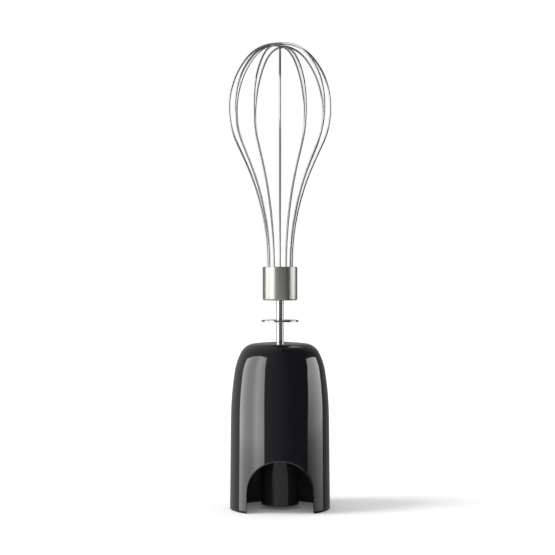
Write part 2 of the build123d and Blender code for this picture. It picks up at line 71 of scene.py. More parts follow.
def length(name, description, millimetres):
    """A length property whose default is written in millimetres."""
    return bpy.props.FloatProperty(
        name=name, description=description, default=millimetres * MM, unit="LENGTH", precision=5
    )


def turn(name, description, degrees_of_turn):
    """An angle property whose default is written in degrees."""
    return bpy.props.FloatProperty(
        name=name, description=description, default=radians(degrees_of_turn), subtype="ANGLE"
    )


def srgb(hexadecimal):
    """An sRGB colour such as 1B1B1E as linear red, green and blue."""
    channels = [int(hexadecimal[i : i + 2], 16) / 255 for i in (0, 2, 4)]
    return [c / 12.92 if c <= 0.04045 else ((c + 0.055) / 1.055) ** 2.4 for c in channels]


def colour(name, description, hexadecimal):
    """A colour property whose default is written as an sRGB hex value."""
    return bpy.props.FloatVectorProperty(
        name=name, description=description, default=srgb(hexadecimal), subtype="COLOR", size=3, min=0, max=1
    )


class HousingSizes(bpy.types.PropertyGroup):
    """The glossy bell and its arch."""

    rim_radius: length("Rim radius", "Radius of the collar's rim", 26.0)
    draft: turn("Draft", "Taper of the collar's straight part", 0.6)
    collar_height: length("Collar height", "Height of the collar's straight part", 47.2)
    flank_radius: length("Flank radius", "Radius of the first arc above the collar", 167.0)
    flank_turn: turn("Flank turn", "How far the first arc turns", 8.2)
    shoulder_radius: length("Shoulder radius", "Radius of the second arc", 32.3)
    shoulder_turn: turn("Shoulder turn", "How far the second arc turns", 18.6)
    edge_radius: length("Edge radius", "Radius of the arc into the domed top", 8.8)
    edge_turn: turn("Edge turn", "How far the third arc turns", 56.1)
    wall: length("Wall", "Wall of the moulded bell", 2.2)
    step_depth: length("Rim step depth", "Depth of the step inside the rim", 0.5)
    step_height: length("Rim step height", "Height of the step inside the rim", 2.5)
    arch_half_width: length("Arch half width", "Half the arch's width, and its top's radius", 16.85)
    arch_height: length("Arch height", "Height of the arch above the rim", 27.0)
    leg_corner: length("Leg corner radius", "Radius between the arch's legs and the rim", 1.2)
    rounding: length("Edge rounding", "Rounding of the outer edges of rim and arch", 0.3)
    mouth_gap: length("Mouth gap", "Gap round the spindle in the bell's top", 0.45)
    spindle_radius: length("Spindle radius", "Radius of the spindle", 4.2)
    nose_radius: length("Nose radius", "Radius of the boss under the bell's top", 7.6)
    catch_width: length("Catch width", "Width of the pockets for the motor unit's lugs", 9.0)
    catch_height: length("Catch height", "Height of the lugs' pockets", 4.0)
    catch_depth: length("Catch depth", "Depth of the lugs' pockets", 0.9)
    catch_level: length("Catch level", "Level of the pockets' middle", 13.0)


class CouplingSizes(bpy.types.PropertyGroup):
    """The plate across the collar and the boss that enters the motor unit."""

    edge_rounding: length("Boss rounding", "Rounding of the boss's lower edge", 0.6)
    mouth_rounding: length("Mouth rounding", "Rounding of the recess's lower edge", 0.25)
    recess_depth: length("Recess depth", "Depth of the drive recess in the boss", 14.6)
    recess_wall: length("Recess wall", "Wall of the boss round the drive recess", 2.9)


class WhiskSizes(bpy.types.PropertyGroup):
    """The shaft, what is on it, and the wire cage."""

    shaft_chamfer: length("Shaft chamfer", "Chamfer at the shaft's head", 0.5)
    flat_length: length("Flat length", "Length of the driving flats at the foot", 7.0)
    flat_half: length("Flat half", "Half the thickness across the driving flats", 1.6)
    disc_rounding: length("Disc rounding", "Rounding of the splash disc's edge", 0.3)
    ferrule_wall: length("Ferrule wall", "Wall of the drawn cup", 0.7)
    ferrule_edge: length("Ferrule edge", "Radius of the drawn cup's lower edge", 0.9)
    ferrule_lip: length("Ferrule lip", "Rounding of the drawn cup's upper lip", 0.3)
    strand_place: length("Strand place", "Radius on which the strands leave the ferrule", 6.3)
    strand_foot: length("Strand foot", "Level of the strands' ends in the holder", 112.53)
    wire_diameter: length("Wire diameter", "Diameter of the drawn wire", 1.05)
    waist_level: length("Waist level", "Level where the strands begin to flare", 155.0)
    waist_bend: length("Waist bend", "Radius of the bend at the waist", 125.0)
    belly_radius: length("Belly radius", "Radius of the cage's widest part, to the wires' middle", 26.26)
    flare_level: length("Flare level", "Level of the corner below the widest part", 198.4)
    flare_bend: length("Flare bend", "Radius of the bend below the widest part", 43.7)
    shoulder_level: length("Shoulder level", "Level of the corner above the widest part", 223.3)
    shoulder_bend: length("Shoulder bend", "Radius of the bend above the widest part", 38.7)
    shoulder_turn: turn("Shoulder turn", "Turn of a wire above the widest part", 40.3)
    shoulder_run: length("Shoulder run", "Straight run between shoulder and crown", 0.4)
    crown_bend: length("Crown bend", "Radius of the bend into the crown", 19.8)
    crown_slope: turn("Crown slope", "Slope of a wire as it nears the axis", 8.0)
    crown_corner: length("Crown corner", "Radius in plan where a loop passes the axis", 15.0)
    layer_gap: length("Layer gap", "Gap between crossing loops", 0.04)


class StageSizes(bpy.types.PropertyGroup):
    """The camera, the floor and what glossy surfaces mirror."""

    camera_distance: length("Camera distance", "From the attachment's axis to the camera", 770.0)
    camera_side: length("Camera side", "How far the camera stands right of the axis", -1.3)
    camera_height: length("Camera height", "Height of the camera above the floor", 119.86)
    view_width: length("View width", "Width of the view at the axis", 288.6)
    floor_radius: length("Floor radius", "Radius of the pale floor", 6000.0)
    mirrored_white: bpy.props.FloatProperty(
        name="Mirrored white",
        description="How far glossy surfaces mirror the white background instead of the studio's panels",
        default=0.0,
        min=0.0,
        max=1.0,
        subtype="FACTOR",
    )


class FinishColours(bpy.types.PropertyGroup):
    """Colours of the finishes, written as sRGB hex values."""

    moulded_black: colour("Moulded black", "Lacquered ABS of the bell's outside", "0C0B12")
    # The core colour is painted lighter than the bell's black: painted light on the inner wall, which lies in
    # shade.
    core_painted_light: colour("Core black", "Bare ABS of the bell's inner wall", "3C3C3E")
    boss_black: colour("Boss black", "Moulded ABS of the coupling boss and plate", "1E1E20")
    rubber: colour("Rubber", "Moulded nitrile rubber of the seals", "242424")
    acetal: colour("Acetal", "Natural acetal of the gears", "E6E3D8")
    bronze: colour("Bronze", "Oil-filled sintered bronze of the bushes", "A8845C")
    coupling_grey: colour("Coupling grey", "Glass-filled nylon of the drive coupling", "55565A")
    carrier_grey: colour("Carrier grey", "Glass-filled nylon of the planet carrier", "7D7E82")
    holder_grey: colour("Holder grey", "Glass-filled nylon of the wire holder", "34363A")
    zinc: colour("Zinc", "Zinc plating of the screws", "B9BABD")
    ground_steel: colour("Ground steel", "Ground steel of shafts and pins", "A9A8A6")
    spring_steel: colour("Spring steel", "Blued spring steel of the circlips", "5A5C63")
    stainless: colour("Stainless", "Polished stainless steel of shaft and disc", "C4C3C0")
    satin_stainless: colour("Satin stainless", "Satin stainless steel of the ferrule", "C8C7C2")
    wire: colour("Wire", "Drawn stainless wire", "BDBCB9")
    floor: colour("Floor", "Pale studio floor", "F9F9F9")


class WhiskAttachmentSettings(bpy.types.PropertyGroup):
    """Everything that a user would change."""

    housing: bpy.props.PointerProperty(type=HousingSizes, name="Housing", description="Sizes of the bell")
    coupling: bpy.props.PointerProperty(type=CouplingSizes, name="Coupling", description="Sizes of the boss")
    whisk: bpy.props.PointerProperty(type=WhiskSizes, name="Whisk", description="Sizes of the whisk")
    stage: bpy.props.PointerProperty(type=StageSizes, name="Stage", description="Camera and floor")
    colours: bpy.props.PointerProperty(type=FinishColours, name="Colours", description="Finish colours")


# ---- mesh helpers ----

ROUND_SIDES = 128
ARC_STEP = radians(5)
SHARP_ANGLE = radians(32)
SAME_POINT = 1e-7
# How far a cutter runs past the face that it cuts through.
CUTTER_PAST = 1 * MM


def polar(radius, angle, level):
    """A point at a radius and an angle round the axis."""
    return Vector((radius * cos(angle), radius * sin(angle), level))


def smooth(mesh):
    """Shades a mesh smooth and keeps its creases sharp."""
    for face in mesh.polygons:
        face.use_smooth = True
    mesh.set_sharp_from_angle(angle=SHARP_ANGLE)


def new_piece(name, points, faces, material):
    """A smooth-shaded piece from points and faces, its doubled points merged and its creases kept sharp."""
    mesh = bpy.data.meshes.new(name)
    mesh.from_pydata([tuple(p) for p in points], [], faces)
    bm = bmesh.new()
    bm.from_mesh(mesh)
    bmesh.ops.remove_doubles(bm, verts=bm.verts, dist=SAME_POINT)
    bmesh.ops.dissolve_degenerate(bm, dist=SAME_POINT, edges=bm.edges)
    bmesh.ops.recalc_face_normals(bm, faces=bm.faces)
    bm.to_mesh(mesh)
    bm.free()
    smooth(mesh)
    piece = bpy.data.objects.new(name, mesh)
    bpy.context.scene.collection.objects.link(piece)
    mesh.materials.append(material)
    return piece


def arc_points(centre, radius, start, sweep):
    """Points of a flat arc, its first and last among them."""
    count = max(1, round(abs(sweep) / ARC_STEP))
    angles = [start + sweep * k / count for k in range(count + 1)]
    return [Vector((centre.x + radius * cos(a), centre.y + radius * sin(a))) for a in angles]


def rounded_outline(corners):
    """A closed flat outline from corners of (place, level, rounding)."""
    points = []
    for k, (x, y, rounding) in enumerate(corners):
        corner = Vector((x, y))
        if rounding == 0:
            points.append(corner)
            continue
        before = Vector(corners[k - 1][:2]) - corner
        after = Vector(corners[(k + 1) % len(corners)][:2]) - corner
        half = before.angle(after) / 2
        middle = (before.normalized() + after.normalized()).normalized()
        centre = corner + middle * rounding / sin(half)
        first = corner + before.normalized() * rounding / tan(half) - centre
        last = corner + after.normalized() * rounding / tan(half) - centre
        sweep = atan2(first.x * last.y - first.y * last.x, first.dot(last))
        points += arc_points(centre, rounding, atan2(first.y, first.x), sweep)
    return points


def lathe(name, outline, material, sides=ROUND_SIDES):
    """A piece turned round the axis from its closed half section."""
    points = []
    faces = []
    count = len(outline)
    for k in range(sides):
        points += [polar(p.x, 2 * pi * k / sides, p.y) for p in outline]
        here = k * count
        there = (k + 1) % sides * count
        for i in range(count):
            j = (i + 1) % count
            faces.append((here + i, there + i, there + j, here + j))
    return new_piece(name, points, faces, material)


def carve(piece, cutters):
    """Takes the cutters' space out of a piece and deletes the cutters."""
    for cutter in cutters:
        modifier = piece.modifiers.new("carve", "BOOLEAN")
        modifier.operation = "DIFFERENCE"
        modifier.solver = "EXACT"
        modifier.object = cutter
    bpy.context.view_layer.update()
    carved = bpy.data.meshes.new_from_object(piece.evaluated_get(bpy.context.evaluated_depsgraph_get()))
    piece.modifiers.clear()
    piece.data = carved
    for cutter in cutters:
        bpy.data.objects.remove(cutter)
    smooth(carved)


def block(name, low, high):
    """A plain box between two corners, used as a cutter."""
    sides = list(zip(low, high))
    points = [Vector((x, y, z)) for x in sides[0] for y in sides[1] for z in sides[2]]
    faces = [(0, 1, 3, 2), (4, 6, 7, 5), (0, 4, 5, 1), (2, 3, 7, 6), (0, 2, 6, 4), (1, 5, 7, 3)]
    return new_piece(name, points, faces, None)


def along(start, end, count):
    """Evenly spaced numbers from start to end, both among them."""
    return [start + (end - start) * k / count for k in range(count + 1)]


# ---- the bell ----

ARCH_COLUMNS = 72
CORNER_COLUMNS = 6
SIDE_COLUMNS = 104
ARCH_ROWS = 12
STEP_ROWS = 2
JAMB_ROWS = 5
DOME_ROWS = 5
ROUNDING_ROWS = 4
PROFILE_STEP = radians(2)
# Level above the arch up to which each column of the collar keeps its place across the arch.
JOIN_LEVEL = 31 * MM


def collar_radius(h, level, inset=0.0):
    """Radius of the drafted collar at a level."""
    return h.rim_radius - inset / cos(h.draft) - level * tan(h.draft)


def bell_profile(h, inset, end_radius):
    """The bell's outline from the collar's top inwards, as points of radius and level."""
    lean = h.draft
    place = Vector((h.rim_radius - h.collar_height * tan(lean), h.collar_height))
    arcs = [
        (h.flank_radius, h.flank_turn),
        (h.shoulder_radius, h.shoulder_turn),
        (h.edge_radius, h.edge_turn),
    ]
    points = []
    for radius, turned_by in arcs:
        centre = place - radius * Vector((cos(lean), sin(lean)))
        steps = max(2, round(turned_by / PROFILE_STEP))
        for angle in along(lean, lean + turned_by, steps):
            points.append(centre + (radius - inset) * Vector((cos(angle), sin(angle))))
        lean += turned_by
        place = centre + radius * Vector((cos(lean), sin(lean)))
    dome = place.x / cos(lean)
    centre = place - dome * Vector((cos(lean), sin(lean)))
    last = acos(end_radius / (dome - inset))
    for angle in along(lean, last, DOME_ROWS):
        points.append(centre + (dome - inset) * Vector((cos(angle), sin(angle))))
    return points


class BellGrid:
    """Columns and edge points of the bell's outer and inner faces, from the arch's middle round the back."""

    def __init__(self, h):
        self.h = h
        self.spring = h.arch_height - h.arch_half_width
        half = [("arch", 1, angle) for angle in along(pi / 2, 0, ARCH_COLUMNS // 2)]
        half += [("corner", 1, angle) for angle in along(0, pi / 2, CORNER_COLUMNS)]
        half += [("rim", 1, share) for share in along(0, 1, SIDE_COLUMNS)][1:]
        mirrored = [(kind, -1, place) for kind, _, place in half[-2:0:-1]]
        self.columns = half + mirrored

    def corner_azimuth(self, inset):
        """Azimuth from the front at which the leg's corner runs into the rim."""
        h = self.h
        return asin((h.arch_half_width + h.leg_corner) / collar_radius(h, 0, inset))

    def edge(self, column, offset, inset):
        """Side place (or azimuth) and level of a column's lowest point."""
        h = self.h
        kind, _, place = column
        if kind == "arch":
            reach = h.arch_half_width + offset
            return reach * cos(place), self.spring + reach * sin(place)
        if kind == "corner":
            radius = h.leg_corner - offset
            across = h.arch_half_width + h.leg_corner - radius * cos(place)
            return across, h.leg_corner - radius * sin(place)
        start = self.corner_azimuth(inset)
        return start + (pi - start) * place, offset

    def azimuth(self, column, offset, inset, level):
        """Azimuth of a column at a level: its side place is fixed near the arch and its azimuth elsewhere."""
        kind, side, _ = column
        place, _ = self.edge(column, offset, inset)
        if kind == "rim":
            return side * place
        return side * asin(place / collar_radius(self.h, level, inset))

    def point(self, column, offset, inset, level):
        """Point on a face of the collar, on a column at a level."""
        radius = collar_radius(self.h, level, inset)
        return polar(radius, self.azimuth(column, offset, inset, level) - pi / 2, level)

    def side_points(self, column, offset, inset):
        """Points of a column up to where the arch's round top begins."""
        h = self.h
        lowest = self.edge(column, offset, h.wall if inset is None else inset)[1]
        rows = [(level, h.wall - h.step_depth) for level in along(lowest, h.step_height, STEP_ROWS)]
        rows += [(level, h.wall) for level in along(h.step_height, self.spring, JAMB_ROWS)]
        return [self.point(column, offset, inner if inset is None else inset, level) for level, inner in rows]

    def sheet(self, offset, inset, profile):
        """Rows of points of one face: inset is None for the inner face, which has the rim's step."""
        grid = []
        depth = self.h.wall if inset is None else inset
        for column in self.columns:
            rows = self.side_points(column, offset, inset)
            first = self.spring
            if column[0] == "arch" and column[2] != 0:
                rows = [None] * len(rows)
                first = self.edge(column, offset, depth)[1]
            rows += [self.point(column, offset, depth, z) for z in along(first, JOIN_LEVEL, ARCH_ROWS)]
            azimuth = self.azimuth(column, offset, depth, JOIN_LEVEL) - pi / 2
            rows += [polar(p.x, azimuth, p.y) for p in profile]
            grid.append(rows)
        return grid

    def edge_loop(self, offset, inset):
        """The closed lower edge of a face: rim, leg corners, jambs and arch, in one order for every call."""
        loop = []
        depth = self.h.wall if inset is None else inset
        for column in self.columns:
            kind, side, place = column
            if kind == "arch" and place != 0:
                loop.append(self.point(column, offset, depth, self.edge(column, offset, depth)[1]))
                continue
            points = self.side_points(column, offset, inset)
            points = points if kind == "arch" else points[:1]
            loop += points[::-1] if side > 0 else points
        return loop


class Quads:
    """Points and faces of a mesh that is put together from strips."""

    def __init__(self):
        self.points = []
        self.faces = []

    def strip(self, first, second):
        """Quads between two closed loops of as many points."""
        start = len(self.points)
        count = len(first)
        self.points += first + second
        for k in range(count):
            after = (k + 1) % count
            self.faces.append((start + k, start + after, start + count + after, start + count + k))

    def grid(self, columns):
        """Quads between neighbouring columns, leaving out those with a missing point."""
        for here, there in zip(columns, columns[1:] + columns[:1]):
            for i in range(len(here) - 1):
                corners = [here[i], there[i], there[i + 1], here[i + 1]]
                if None in corners:
                    continue
                start = len(self.points)
                self.points += corners
                self.faces.append((start, start + 1, start + 2, start + 3))


def bell_mesh(h, material):
    """The bell with its arch, rounded edges, rim step, open top and the boss under it."""
    bell = BellGrid(h)
    quads = Quads()
    mouth = h.spindle_radius + h.mouth_gap
    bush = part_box("nose_bush")[1].x
    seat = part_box("spindle_seal")[1].z
    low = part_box("nose_bush")[0].z
    outside = [Vector((collar_radius(h, h.collar_height), h.collar_height))]
    outside += bell_profile(h, 0, mouth)
    inside = bell_profile(h, h.wall, h.nose_radius)
    quads.grid(bell.sheet(h.rounding, 0, outside))
    quads.grid(bell.sheet(0, None, inside))
    turned = [outside[-1], Vector((mouth, seat)), Vector((bush, seat)), Vector((bush, low))]
    turned += [Vector((h.nose_radius, low)), inside[-1]]
    for near, far in zip(turned, turned[1:]):
        loops = []
        for p in (near, far):
            inset = 0 if p is outside[-1] else h.wall
            offset = h.rounding if p is outside[-1] else 0
            azimuths = [bell.azimuth(c, offset, inset, JOIN_LEVEL) - pi / 2 for c in bell.columns]
            loops.append([polar(p.x, azimuth, p.y) for azimuth in azimuths])
        quads.strip(*loops)
    steps = along(0, pi / 2, ROUNDING_ROWS)
    edges = [bell.edge_loop(h.rounding * (1 - sin(t)), h.rounding * (1 - cos(t))) for t in steps]
    edges.append(bell.edge_loop(0, None))
    for first, second in zip(edges, edges[1:]):
        quads.strip(first, second)
    return new_piece("bell_housing", quads.points, quads.faces, material)


# ---- wires ----

WIRE_SIDES = 18
WIRE_STEP = radians(3)
LEAST_STEPS = 4
# Azimuths of each loop's two legs, in degrees.
LOOP_LEGS = ((0, 150), (180, 330), (60, 210), (240, 30), (120, 270), (300, 90))


def wire_run(corners, radii):
    """Points of a wire's middle line: straight runs joined by tangent arcs at its corners."""
    run = [corners[0]]
    for before, corner, after, radius in zip(corners, corners[1:], corners[2:], radii):
        inward = (before - corner).normalized()
        outward = (after - corner).normalized()
        bend = pi - inward.angle(outward)
        reach = radius * tan(bend / 2)
        centre = corner + (inward + outward).normalized() * radius / cos(bend / 2)
        first = corner + inward * reach - centre
        last = corner + outward * reach - centre
        axis = first.cross(last).normalized()
        steps = max(LEAST_STEPS, round(bend / WIRE_STEP))
        run += [centre + Matrix.Rotation(bend * k / steps, 3, axis) @ first for k in range(steps + 1)]
    return run + [corners[-1]]


def tube(name, run, diameter, material):
    """A round wire along a run of points, with flat ends."""
    points = []
    faces = []
    side = Vector((0, 1, 0))
    for k, place in enumerate(run):
        ahead = run[min(k + 1, len(run) - 1)] - run[max(k - 1, 0)]
        forward = ahead.normalized()
        side = (side - forward * side.dot(forward)).normalized()
        across = forward.cross(side)
        for n in range(WIRE_SIDES):
            angle = 2 * pi * n / WIRE_SIDES
            points.append(place + (side * cos(angle) + across * sin(angle)) * diameter / 2)
    last = (len(run) - 1) * WIRE_SIDES
    for low in range(0, last, WIRE_SIDES):
        high = low + WIRE_SIDES
        for n in range(WIRE_SIDES):
            m = (n + 1) % WIRE_SIDES
            faces.append((low + n, low + m, high + m, high + n))
    faces.append(tuple(range(WIRE_SIDES))[::-1])
    faces.append(tuple(last + n for n in range(WIRE_SIDES)))
    return new_piece(name, points, faces, material)


def leg_corners(w, angle, drop):
    """Corners of one leg of a loop, from its end in the holder up to the last corner before the crown."""
    rest = pi / 2 - w.shoulder_turn - w.crown_slope
    reach = w.shoulder_bend * tan(w.shoulder_turn / 2) + w.shoulder_run + w.crown_bend * tan(rest / 2)
    crown_place = w.belly_radius - reach * sin(w.shoulder_turn)
    crown_level = w.shoulder_level + reach * cos(w.shoulder_turn)
    return [
        polar(w.strand_place, angle, w.strand_foot),
        polar(w.strand_place, angle, w.waist_level),
        polar(w.belly_radius, angle, w.flare_level - drop),
        polar(w.belly_radius, angle, w.shoulder_level - drop),
        polar(crown_place, angle, crown_level - drop),
    ]


def loop_run(w, number):
    """Middle line of one closed loop: it drops a wire's thickness for each pair that lies over it."""
    drop = number // 2 * (w.wire_diameter + w.layer_gap)
    first, second = LOOP_LEGS[number]
    rising = leg_corners(w, radians(first), drop)
    falling = leg_corners(w, radians(second), drop)
    last = rising[-1]
    crown = Vector((0, 0, last.z + hypot(last.x, last.y) * tan(w.crown_slope)))
    bends = [w.waist_bend, w.flare_bend, w.shoulder_bend, w.crown_bend]
    return wire_run(rising + [crown] + falling[::-1], bends + [w.crown_corner] + bends[::-1])


# ---- finishes ----

# Noise values between which a finish goes from its first tone and roughness to its second.
NOISE_RANGE = (0.3, 0.7)
# Darkest and lightest factors on the colour of a moulded or plated face.
EVEN = (0.9, 1.1)
# Faces of the bell within this radius come from the core of the tool, which isn't polished.
# Within it the bell's colour is also painted lighter: painted light on the inner wall, which lies in shade.
CORE_RADIUS = 24.9 * MM
CORE_ROUGHNESS = 0.35

# Finishes by record slot, filled when the first of them is asked for.
finishes = {}


def add_node(tree, kind, sockets=None, stops=(), **settings):
    """Adds a node with its settings, its links and a ramp's stops.

    A socket takes a constant, an output to link to, or a node, whose first output in use is linked.
    """
    node = tree.nodes.new("ShaderNode" + kind)
    for name, value in settings.items():
        setattr(node, name, value)
    for name, value in (sockets or {}).items():
        if isinstance(value, bpy.types.Node):
            value = next(output for output in value.outputs if output.enabled)
        if isinstance(value, bpy.types.NodeSocket):
            tree.links.new(value, node.inputs[name])
        else:
            node.inputs[name].default_value = value
    for k, (position, value) in enumerate(stops):
        elements = node.color_ramp.elements
        element = elements[k] if k < 2 else elements.new(position)
        element.position = position
        element.color = value if isinstance(value, tuple) else (value, value, value, 1.0)
    return node


def tinted(base, factor):
    """A colour times a factor, with its alpha."""
    return (*(min(1.0, c * factor) for c in base), 1.0)


def finish(name, principled, base, rough, spacing, tones=EVEN, bump=0.0, stretch=(1, 1, 1)):
    """A material whose colour, roughness and relief vary with one noise of a real spacing in millimetres.

    The spacing is the distance between the pattern's light and dark, and stretch draws it out along an axis.
    Rough is the least and most roughness, tones are the colour's darkest and lightest factors, and bump is
    the relief's height in millimetres.
    """
    material = bpy.data.materials.new(name)
    material.use_nodes = True
    tree = material.node_tree
    tree.nodes.clear()
    place = add_node(tree, "TexCoord").outputs["Object"]
    scale = tuple(1 / (spacing * MM * s) for s in stretch)
    mapped = add_node(tree, "Mapping", {"Vector": place, "Scale": scale})
    noise = add_node(tree, "TexNoise", {"Vector": mapped, "Scale": 1.0, "Detail": 3.0})
    shade = add_node(tree, "ValToRGB", {"Fac": noise}, zip(NOISE_RANGE, (tinted(base, t) for t in tones)))
    gloss = add_node(tree, "ValToRGB", {"Fac": noise}, zip(NOISE_RANGE, rough))
    sockets = {**principled, "Base Color": shade, "Roughness": gloss}
    if bump:
        relief = {"Height": noise, "Distance": bump * MM, "Strength": 1.0}
        sockets["Normal"] = add_node(tree, "Bump", relief)
    if principled.get("Anisotropic"):
        sockets["Tangent"] = add_node(tree, "Tangent", direction_type="RADIAL", axis="Z")
    add_node(tree, "OutputMaterial", {"Surface": add_node(tree, "BsdfPrincipled", sockets)})
    return material


def shader_of(tree):
    """The shader that a finish is built on."""
    return next(node for node in tree.nodes if node.type == "BSDF_PRINCIPLED")


def dull_and_paint_light_core_side(material, base):
    """Makes the collar's inner faces as rough as the tool's unpolished core leaves them, and paints them a
    lighter black as painted light on the shaded inner wall.
    """
    tree = material.node_tree
    place = add_node(tree, "TexCoord").outputs["Object"]
    flat = {0: place, 1: (1.0, 1.0, 0.0)}
    flat = add_node(tree, "VectorMath", flat, operation="MULTIPLY")
    reach = add_node(tree, "VectorMath", {0: flat}, operation="LENGTH")
    level = add_node(tree, "SeparateXYZ", {"Vector": place}).outputs["Z"]
    inside, under = (
        add_node(tree, "Math", {0: measure, 1: limit}, operation="LESS_THAN")
        for measure, limit in ((reach, CORE_RADIUS), (level, JOIN_LEVEL))
    )
    core = add_node(tree, "Math", {0: inside, 1: under}, operation="MULTIPLY")
    rough = (CORE_ROUGHNESS, CORE_ROUGHNESS, CORE_ROUGHNESS, 1.0)
    # The lighter colour mixed in here is painted light on the shaded inner wall; the roughness is the core's
    # own.
    for name, dull_and_painted_light in (("Base Color", tinted(base, 1.0)), ("Roughness", rough)):
        socket = shader_of(tree).inputs[name]
        mix = {"Factor": core, "A": socket.links[0].from_socket, "B": dull_and_painted_light}
        mixed = add_node(tree, "Mix", mix, data_type="RGBA")
        tree.links.new(mixed.outputs["Result"], socket)


def make_finishes(c):
    """Every finish of the attachment, by the name of its slot in the record."""
    metal = {"Metallic": 1.0}
    lacquered = {"Metallic": 0.0, "IOR": 1.5, "Coat Weight": 1.0, "Coat Roughness": 0.03, "Coat IOR": 1.5}
    plastic = {"Metallic": 0.0, "IOR": 1.5}
    nylon = {"Metallic": 0.0, "IOR": 1.53}
    rubber = {"Metallic": 0.0, "IOR": 1.52}
    turned = {"Metallic": 1.0, "Anisotropic": 0.7, "Anisotropic Rotation": 0.25}
    # Name, shader, colour, roughness, spacing, and where they differ from the usual, tones, bump and stretch.
    # Grinding and polishing marks are really some hundredths of a millimetre apart. They are drawn 0.15 to
    # 0.4 mm apart, which is as coarse as they need to be to show.
    rows = {
        # Lacquered ABS from a polished tool: a deep mirror with sharp reflections on a near-black body.
        "housing_gloss_black": ("lacquered_gloss_abs", lacquered, c.moulded_black, (0.035, 0.06), 6.0),
        # Bare ABS from a polished tool: the same black without the lacquer, so it mirrors half as much.
        "inner_gloss_black": ("moulded_gloss_abs", plastic, c.boss_black, (0.035, 0.05), 4.0),
        # Moulded nitrile rubber: dull black with a broad, weak sheen.
        "rubber_black": ("moulded_rubber", rubber, c.rubber, (0.6, 0.72), 1.2, EVEN, 0.01),
        # Natural acetal, cut and moulded: waxy off-white.
        "acetal_white": ("natural_acetal", nylon, c.acetal, (0.32, 0.42), 3.0, (0.97, 1.02)),
        # Bright zinc plating on rolled screws: pale metal with a slight cloudiness.
        "screw_steel": ("zinc_plate", metal, c.zinc, (0.28, 0.38), 0.8),
        # Sintered bronze: fine open grains that hold oil, so it glints in specks.
        "sintered_bronze": ("sintered_bronze", metal, c.bronze, (0.35, 0.6), 0.25, (0.75, 1.15), 0.01),
        # Centreless-ground steel: fine rings round the shaft, a tight highlight along it.
        "shaft_steel": ("ground_steel", metal, c.ground_steel, (0.16, 0.24), 0.15, EVEN, 0.0, (6, 6, 1)),
        # Hobbed steel: cutter marks across the teeth, duller than the ground shaft.
        "gear_steel": ("hobbed_steel", metal, c.ground_steel, (0.3, 0.42), 0.3, (0.8, 1.0), 0.003, (1, 1, 6)),
        # Blued spring steel: dark, slightly blue and smooth.
        "spring_steel": ("spring_steel", metal, c.spring_steel, (0.25, 0.35), 0.8),
        # Polished stainless steel: a soft mirror with faint polishing rings.
        "polished_steel": (
            "polished_stainless", metal, c.stainless, (0.07, 0.11), 0.4, (0.96, 1.04), 0.0, (5, 5, 1)
        ),
        # Ground stainless steel: grinding clouds the shaft's mirror, so that bright and dark run together.
        "ground_shaft": (
            "ground_stainless", metal, c.stainless, (0.235, 0.265), 0.3, (0.98, 1.02), 0.0, (6, 6, 1)
        ),
        # Satin stainless steel, ground in rings on a lathe: highlights keep their sides and blur up and down.
        "brushed_steel": (
            "satin_stainless", turned, c.satin_stainless, (0.34, 0.40), 0.3, (0.94, 1.05), 0.0, (8, 8, 1)
        ),
        # Drawn stainless wire: smooth and slightly cloudy. The die's marks are drawn 1.5 mm apart to show.
        "wire_steel": ("drawn_stainless_wire", metal, c.wire, (0.10, 0.18), 1.5, (0.92, 1.04)),
    }
    # Glass-filled nylon: matt grey with the short fibres just showing as flow marks.
    for part in ("coupling", "carrier", "holder"):
        grey = getattr(c, f"{part}_grey")
        rows[f"{part}_grey"] = (f"glass_nylon_{part}", nylon, grey, (0.42, 0.55), 1.0, EVEN, 0.006, (1, 1, 3))
    made = {slot: finish(*row) for slot, row in rows.items()}
    # Paints the inner wall a lighter black as painted light, and makes it rougher.
    dull_and_paint_light_core_side(made["housing_gloss_black"], c.core_painted_light)
    return made


def settings():
    """This add-on's settings on the current scene."""
    return bpy.context.scene.whisk_attachment


def finish_for(slot):
    """The finish of a record slot, made with all the others the first time."""
    if not finishes:
        finishes.update(make_finishes(settings().colours))
    return finishes[slot]


def node_slot(node):
    """The record slot of a CAD node."""
    return next(row["material_slot"] for row in frame["record"]["subparts"] if row["node"] == node)


def dress(piece, body, slot, *replaced):
    """Puts a piece on its body in place of the CAD nodes that it stands for, which it hides. The slot is not
    used.
    """
    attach(piece, body)
    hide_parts(*replaced)


# ---- operators ----

# A catch pocket's cutter is this many pocket depths long, so that it starts inside the collar's bore.
CATCH_REACH = 3
# Screws through the base: how many, the azimuth of the first in degrees, and the sunk seats of their heads.
CASE_SCREWS = 3
FIRST_SCREW = 30
HEAD_RADIUS = 2.5 * MM
HEAD_GAP = 0.15 * MM
SEAT_DEPTH = 1.7 * MM
SEAT_SIDES = 48
SHAFT_SIDES = 64
SAME_FACE = 10 * SAME_POINT


class WHISK_OT_housing(bpy.types.Operator):
    """Make the glossy bell with its arch, rounded edges, rim step and catch pockets"""

    bl_idname = "whisk.housing"
    bl_label = "Bell housing"

    def execute(self, context):
        h = settings().housing
        piece = bell_mesh(h, finish_for("housing_gloss_black"))
        depth = collar_radius(h, h.catch_level, h.wall) + h.catch_depth
        start = depth - CATCH_REACH * h.catch_depth
        low = Vector((start, -h.catch_width / 2, h.catch_level - h.catch_height / 2))
        high = Vector((depth, h.catch_width / 2, h.catch_level + h.catch_height / 2))
        right = block("catch_cutter", low, high)
        left = block("catch_cutter", (-high.x, low.y, low.z), (-low.x, high.y, high.z))
        carve(piece, [right, left])
        dress(piece, "gearbox", "housing_gloss_black", "outer_housing")
        return {"FINISHED"}


